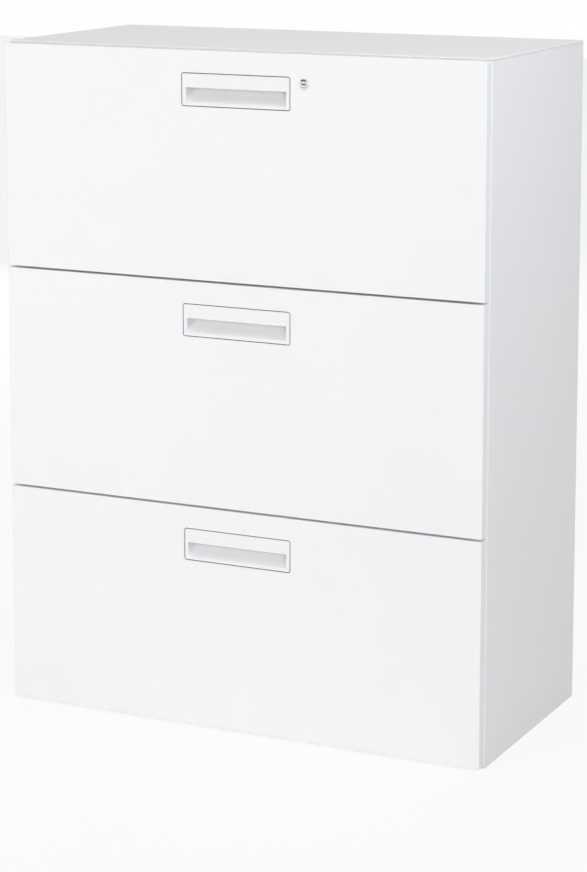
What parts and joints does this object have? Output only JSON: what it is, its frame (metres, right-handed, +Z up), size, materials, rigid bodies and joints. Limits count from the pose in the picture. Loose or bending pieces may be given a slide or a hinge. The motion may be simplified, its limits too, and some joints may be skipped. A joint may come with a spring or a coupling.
{
  "type": "lateral filing cabinet",
  "caption": "Wide, shallow steel filing cabinet with full-width pull-out drawers on telescopic slides, recessed handles with latches, and a cylinder lock in the top front.",
  "frame": {"origin": "middle of the footprint, on the floor", "axes": "+Z up, -Y towards the person who opens the drawers, +X to that person's right"},
  "size_m": [0.8, 0.4, 1.05],
  "materials": {
    "white_paint": "white powder coat with a fine orange peel, semi-matt",
    "white_plastic": "moulded white plastic, satin",
    "zinc_plate": "zinc-plated pressed steel, satin",
    "nickel": "nickel-plated, bright with fine turning marks",
    "spring_steel": "blued spring steel",
    "dark_seal": "dark grey-green rubber, matt"
  },
  "bodies": {
    "cabinet": {"side_panel_left": "white_paint", "side_panel_right": "white_paint", "back_panel": "white_paint", "top_panel": "white_paint", "bottom_panel": "white_paint", "base_rail_front": "white_paint", "base_rail_rear": "white_paint", "upright_front_left": "zinc_plate", "upright_front_right": "zinc_plate", "upright_rear_left": "zinc_plate", "upright_rear_right": "zinc_plate", "slide_outer_bottom_left": "zinc_plate", "slide_outer_bottom_right": "zinc_plate", "slide_outer_middle_left": "zinc_plate", "slide_outer_middle_right": "zinc_plate", "slide_outer_top_left": "zinc_plate", "slide_outer_top_right": "zinc_plate"},
    "drawer_bottom": {"front_panel_bottom": "white_paint", "front_liner_bottom": "white_paint", "drawer_tray_bottom": "white_paint", "drawer_back_bottom": "white_paint", "divider_bottom": "white_paint", "handle_bottom": "white_plastic", "latch_spring_bottom": "spring_steel", "slide_inner_bottom_left": "zinc_plate", "slide_inner_bottom_right": "zinc_plate"},
    "drawer_middle": {"front_panel_middle": "white_paint", "front_liner_middle": "white_paint", "drawer_tray_middle": "white_paint", "drawer_back_middle": "white_paint", "divider_middle": "white_paint", "handle_middle": "white_plastic", "latch_spring_middle": "spring_steel", "slide_inner_middle_left": "zinc_plate", "slide_inner_middle_right": "zinc_plate"},
    "drawer_top": {"front_panel_top": "white_paint", "front_liner_top": "white_paint", "drawer_tray_top": "white_paint", "drawer_back_top": "white_paint", "divider_top": "white_paint", "handle_top": "white_plastic", "latch_spring_top": "spring_steel", "slide_inner_top_left": "zinc_plate", "slide_inner_top_right": "zinc_plate", "lock_housing": "nickel"},
    "slide_links_bottom": {"slide_link_bottom_left": "zinc_plate", "slide_link_bottom_right": "zinc_plate"},
    "slide_links_middle": {"slide_link_middle_left": "zinc_plate", "slide_link_middle_right": "zinc_plate"},
    "slide_links_top": {"slide_link_top_left": "zinc_plate", "slide_link_top_right": "zinc_plate"},
    "latch_bottom": {"latch_lever_bottom": "white_plastic", "latch_shaft_bottom": "zinc_plate"},
    "latch_middle": {"latch_lever_middle": "white_plastic", "latch_shaft_middle": "zinc_plate"},
    "latch_top": {"latch_lever_top": "white_plastic", "latch_shaft_top": "zinc_plate"},
    "lock_core": {"lock_plug": "nickel", "lock_cam": "zinc_plate"},
    "lock_bar": {"lock_bar": "zinc_plate"}
  },
  "joints": [
    {"name": "drawer_bottom_slide", "type": "slide", "parent": "cabinet", "child": "drawer_bottom", "axis": [0, -1, 0], "range_m": [0, 0.33]},
    {"name": "drawer_middle_slide", "type": "slide", "parent": "cabinet", "child": "drawer_middle", "axis": [0, -1, 0], "range_m": [0, 0.33]},
    {"name": "drawer_top_slide", "type": "slide", "parent": "cabinet", "child": "drawer_top", "axis": [0, -1, 0], "range_m": [0, 0.33]},
    {"name": "slide_links_bottom_slide", "type": "slide", "parent": "cabinet", "child": "slide_links_bottom", "axis": [0, -1, 0], "range_m": [0, 0.165]},
    {"name": "slide_links_middle_slide", "type": "slide", "parent": "cabinet", "child": "slide_links_middle", "axis": [0, -1, 0], "range_m": [0, 0.165]},
    {"name": "slide_links_top_slide", "type": "slide", "parent": "cabinet", "child": "slide_links_top", "axis": [0, -1, 0], "range_m": [0, 0.165]},
    {"name": "latch_bottom_pull", "type": "hinge", "parent": "drawer_bottom", "child": "latch_bottom", "pos_m": [0, -0.1905, 0.322], "axis": [-1, 0, 0], "range_deg": [0, 9], "stiffness_Nm_per_rad": 1.5, "springref_deg": -5.73, "deforming": ["latch_spring_bottom"]},
    {"name": "latch_middle_pull", "type": "hinge", "parent": "drawer_middle", "child": "latch_middle", "pos_m": [0, -0.1905, 0.671], "axis": [-1, 0, 0], "range_deg": [0, 9], "stiffness_Nm_per_rad": 1.5, "springref_deg": -5.73, "deforming": ["latch_spring_middle"]},
    {"name": "latch_top_pull", "type": "hinge", "parent": "drawer_top", "child": "latch_top", "pos_m": [0, -0.1905, 1.02], "axis": [-1, 0, 0], "range_deg": [0, 9], "stiffness_Nm_per_rad": 1.5, "springref_deg": -5.73, "deforming": ["latch_spring_top"]},
    {"name": "key_turn", "type": "hinge", "parent": "drawer_top", "child": "lock_core", "pos_m": [0.112, -0.2, 1.003], "axis": [0, 1, 0], "range_deg": [0, 90]},
    {"name": "lock_bar_lift", "type": "slide", "parent": "cabinet", "child": "lock_bar", "axis": [0, 0, 1], "range_m": [0, 0.01]}
  ],
  "couplings": [
    {"joint": "slide_links_bottom_slide", "follows": "drawer_bottom_slide", "ratio": 0.5},
    {"joint": "slide_links_middle_slide", "follows": "drawer_middle_slide", "ratio": 0.5},
    {"joint": "slide_links_top_slide", "follows": "drawer_top_slide", "ratio": 0.5},
    {"joint": "key_turn", "follows": "lock_bar_lift", "rad_per_m": 157.07}
  ]
}
